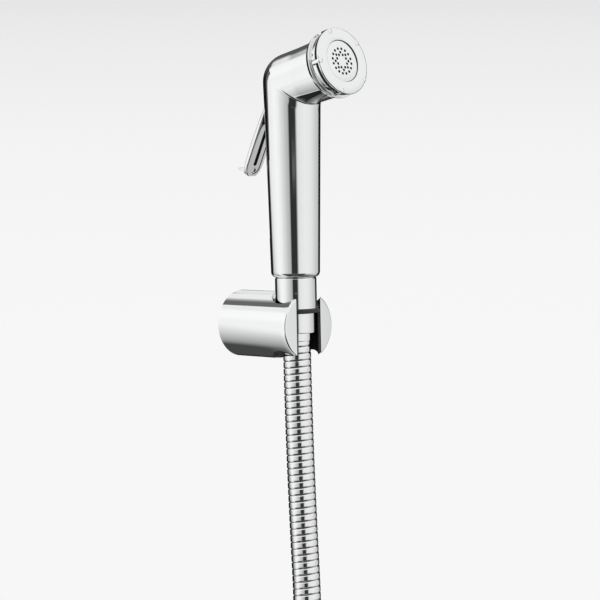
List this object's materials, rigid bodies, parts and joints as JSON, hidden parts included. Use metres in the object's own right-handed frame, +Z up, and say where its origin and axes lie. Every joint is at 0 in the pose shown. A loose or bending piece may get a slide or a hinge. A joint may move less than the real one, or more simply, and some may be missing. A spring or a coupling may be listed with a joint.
{
  "type": "handheld bidet shower",
  "caption": "Chrome handheld bidet sprayer with a rear squeeze lever, standing in a round wall holder, with its ribbed metal hose and a hex connector.",
  "frame": {"origin": "centre of the holder's wall face", "axes": "+Z up, +Y into the wall, the spray head points to -Y, X = 0 is the plane of symmetry of the handset and holder"},
  "size_m": [0.1715, 0.0913, 0.5116],
  "materials": {
    "chrome": "bright polished chrome plate",
    "black_plastic": "smooth moulded plastic",
    "rubber": "moulded rubber",
    "brass": "turned brass",
    "white_plastic": "moulded plastic",
    "steel": "turned stainless steel",
    "zinc": "cast zinc alloy, unplated",
    "hose_steel": "bright interlocked stainless steel strip"
  },
  "bodies": {
    "root": {"holder_body": "chrome", "seat_liner": "black_plastic", "wall_boss": "zinc", "grub_screw": "steel", "collar_ring": "black_plastic", "inlet_neck": "chrome", "neck_oring": "rubber", "inlet_strainer": "steel", "inlet_washer": "rubber", "handset_body": "chrome", "water_tube": "white_plastic", "tube_seals": "rubber", "valve_housing": "brass", "valve_gland": "brass", "stem_oring": "rubber", "valve_spring": "steel", "valve_plug": "brass", "lever_pin": "steel", "head_duct": "white_plastic", "head_gasket": "rubber", "spray_disc": "chrome", "cap_ring": "chrome", "hose_top_fitting": "chrome", "hose_top_ferrule": "chrome", "hose_run": "hose_steel", "hose_coil": "hose_steel", "hose_tail": "hose_steel", "coil_ties": "rubber", "hose_end_ferrule": "chrome", "hose_end_insert": "brass", "hose_end_washer": "rubber"},
    "lever": {"lever": "chrome"},
    "stem": {"valve_stem": "steel", "valve_seal": "rubber"},
    "nut": {"hose_nut": "chrome"}
  },
  "joints": [
    {"name": "lever_squeeze", "type": "hinge", "parent": "root", "child": "lever", "pos_m": [0, -0.0294, 0.124], "axis": [-1, 0, 0], "range_deg": [0, 13], "stiffness_Nm_per_rad": 0.2, "springref_deg": -12.61},
    {"name": "stem_slide", "type": "slide", "parent": "root", "child": "stem", "axis": [0, -1, 0], "range_m": [0, 0.0028], "deforming": ["valve_spring"]},
    {"name": "nut_spin", "type": "hinge", "parent": "root", "child": "nut", "pos_m": [0.075, -0.07928, -0.342], "axis": [0, 0, 1], "continuous": true}
  ],
  "couplings": [
    {"joint": "stem_slide", "follows": "lever_squeeze", "m_per_rad": 0.012}
  ]
}
